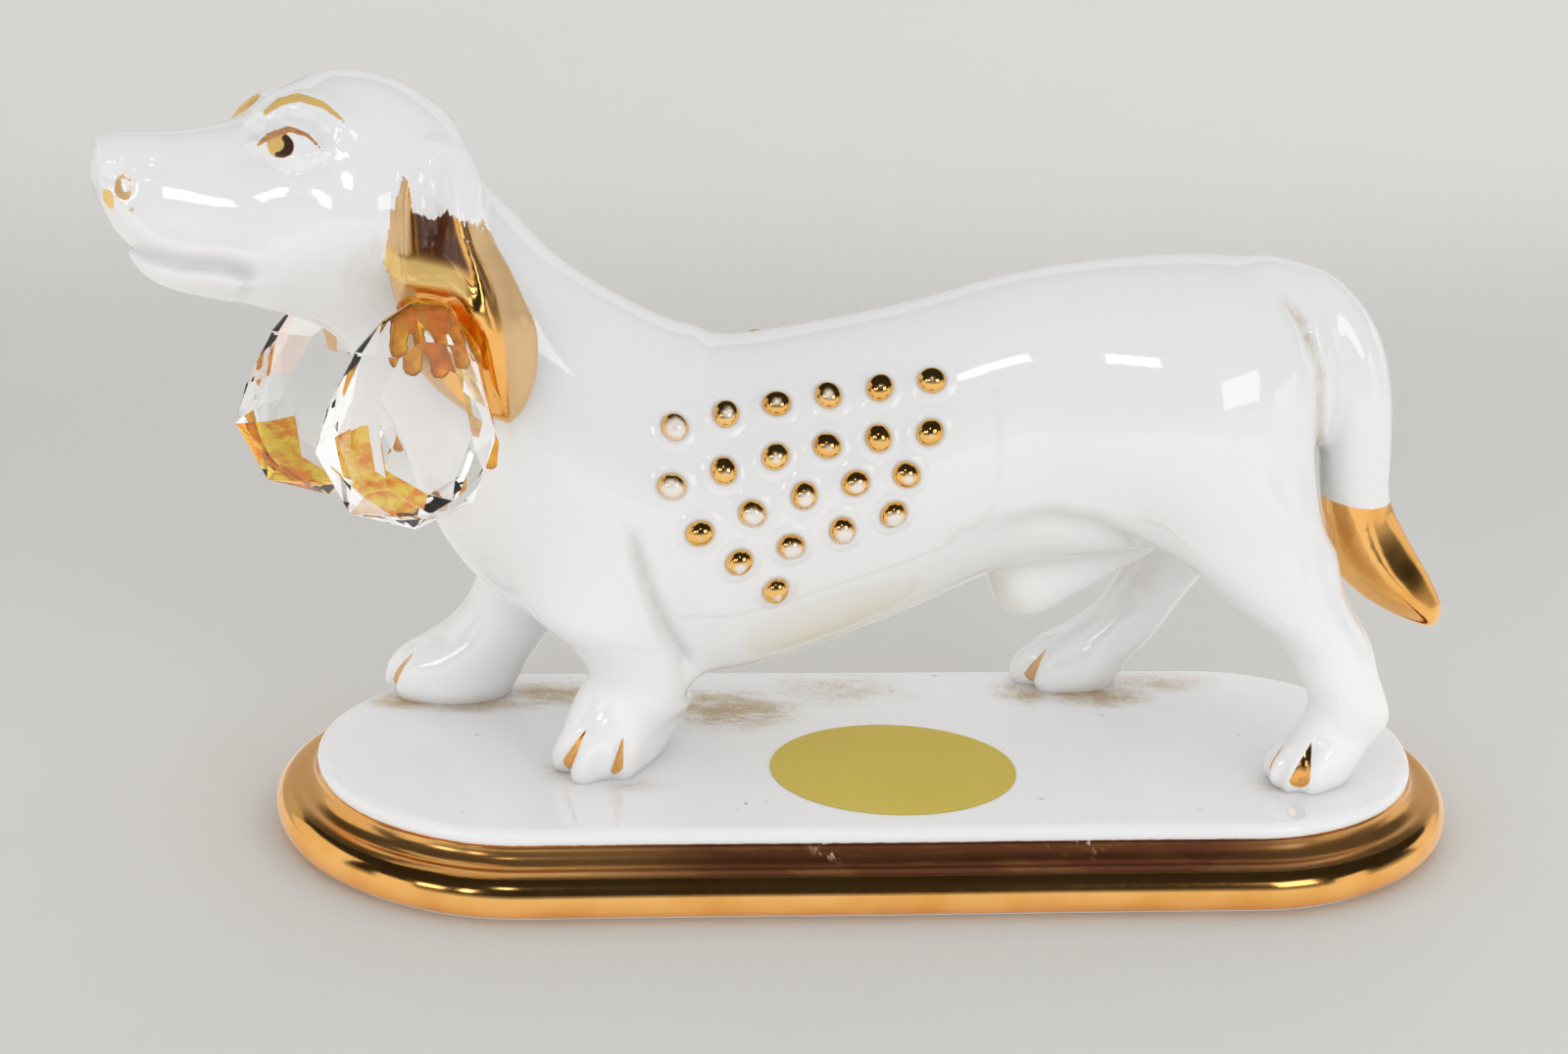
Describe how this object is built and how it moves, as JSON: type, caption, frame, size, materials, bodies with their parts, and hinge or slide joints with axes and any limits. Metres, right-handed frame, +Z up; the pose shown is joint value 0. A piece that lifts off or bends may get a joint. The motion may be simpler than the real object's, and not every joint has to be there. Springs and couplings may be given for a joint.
{
  "type": "dog figurine",
  "caption": "Glazed white porcelain dachshund standing on an oval plinth with a gilded foot, gilded dots on its flanks and a cut crystal drop on each ear; a shelf ornament.",
  "frame": {"origin": "middle of the plinth's flat underside", "axes": "+Z up, -X the way the dog looks, -Y the dog's left side"},
  "size_m": [0.1969, 0.0691, 0.1102],
  "materials": {
    "white_glaze": "gloss glaze",
    "gilded_glaze": "burnished gold film over glaze",
    "crystal": "polished facets",
    "amber_glue": "set adhesive",
    "foil": "metallised"
  },
  "bodies": {
    "root": {"plinth": "white_glaze", "torso": "white_glaze", "head": "white_glaze", "left_ear": "white_glaze", "right_ear": "white_glaze", "left_foreleg": "white_glaze", "right_foreleg": "white_glaze", "left_hindleg": "white_glaze", "right_hindleg": "white_glaze", "tail": "white_glaze", "left_dots": "gilded_glaze", "right_dots": "gilded_glaze", "left_crystal": "crystal", "right_crystal": "crystal", "left_glue": "amber_glue", "right_glue": "amber_glue", "label": "foil"}
  },
  "joints": []
}
